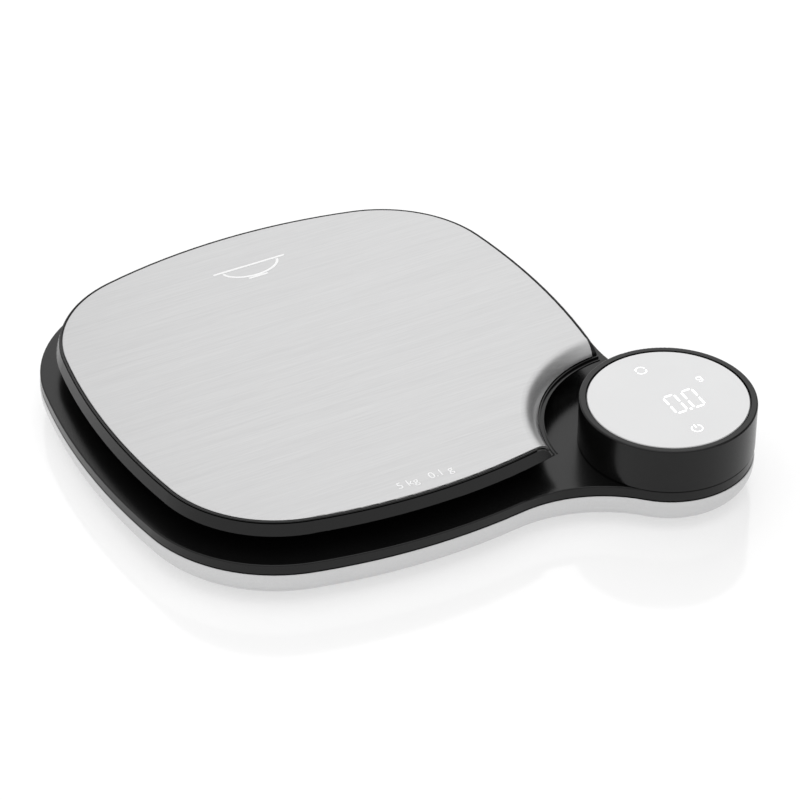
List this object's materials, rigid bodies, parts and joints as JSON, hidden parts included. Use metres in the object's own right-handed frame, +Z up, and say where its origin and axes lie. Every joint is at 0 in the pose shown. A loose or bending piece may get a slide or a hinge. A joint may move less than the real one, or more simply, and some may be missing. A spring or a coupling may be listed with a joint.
{
  "type": "kitchen scale",
  "caption": "Flat electronic kitchen scale: brushed steel weighing platform on a load cell, notched round a raised round display head, over a rounded base with a battery door.",
  "frame": {"origin": "centre of the footprint's bounding box, on the surface it stands on", "axes": "+Z up out of the weighing surface; +X to the user's right, the way the display reads; +Y away from the user, with the display head at +X, -Y"},
  "size_m": [0.2214, 0.217, 0.0356],
  "materials": {
    "brushed_plate": "brushed along the width",
    "adhesive": "soft",
    "black_body": "satin",
    "pressed_steel": "zinc plated",
    "screw_steel": "plated",
    "silver_body": "satin silver paint",
    "foot_rubber": "matt",
    "cell_aluminium": "machined",
    "gauge_foil": "foil on film",
    "silicone": "white silicone",
    "wire_cover": "smooth",
    "lead_cover": "smooth",
    "circuit_board": "solder mask",
    "chip_black": "moulded",
    "battery_wrap": "printed sleeve",
    "nickel": "plated",
    "foam": "open foam",
    "mirror_lens": "half mirrored",
    "tape": "matt",
    "led_body": "white segments",
    "ribbon": "smooth"
  },
  "bodies": {
    "base": {"upper_housing": "black_body", "lower_housing": "silver_body", "housing_screws": "screw_steel", "rubber_feet": "foot_rubber", "load_cell": "cell_aluminium", "cell_base_plate": "pressed_steel", "cell_screws": "screw_steel", "strain_gauges": "gauge_foil", "gauge_coating": "silicone", "cell_wires": "wire_cover", "overload_stops": "screw_steel", "main_board": "circuit_board", "main_board_chips": "chip_black", "main_board_screws": "screw_steel", "battery_cells": "battery_wrap", "battery_contacts": "nickel", "battery_springs": "nickel", "battery_leads": "lead_cover", "head_shell": "black_body", "display_lens": "mirror_lens", "lens_tape": "tape", "light_mask": "chip_black", "led_display": "led_body", "display_board": "circuit_board", "display_driver": "chip_black", "touch_pads": "foam", "display_board_screws": "screw_steel", "head_screws": "screw_steel", "ribbon_cable": "ribbon"},
    "platform": {"platform_plate": "brushed_plate", "plate_adhesive": "adhesive", "platform_carrier": "black_body", "load_bracket": "pressed_steel", "bracket_spacer": "cell_aluminium", "bracket_screws": "screw_steel", "carrier_screws": "screw_steel"},
    "battery_door": {"battery_door": "silver_body", "door_pad": "foam"}
  },
  "joints": [
    {"name": "platform_travel", "type": "slide", "parent": "base", "child": "platform", "axis": [0, 0, 1], "range_m": [-0.0005, 0], "stiffness_N_per_m": 98000, "springref_m": 0.00003, "deforming": ["load_cell", "strain_gauges", "gauge_coating"]},
    {"name": "battery_door_hinge", "type": "hinge", "parent": "base", "child": "battery_door", "pos_m": [-0.01135, 0.0457, 0.0012], "axis": [-1, 0, 0], "range_deg": [0, 95]}
  ]
}
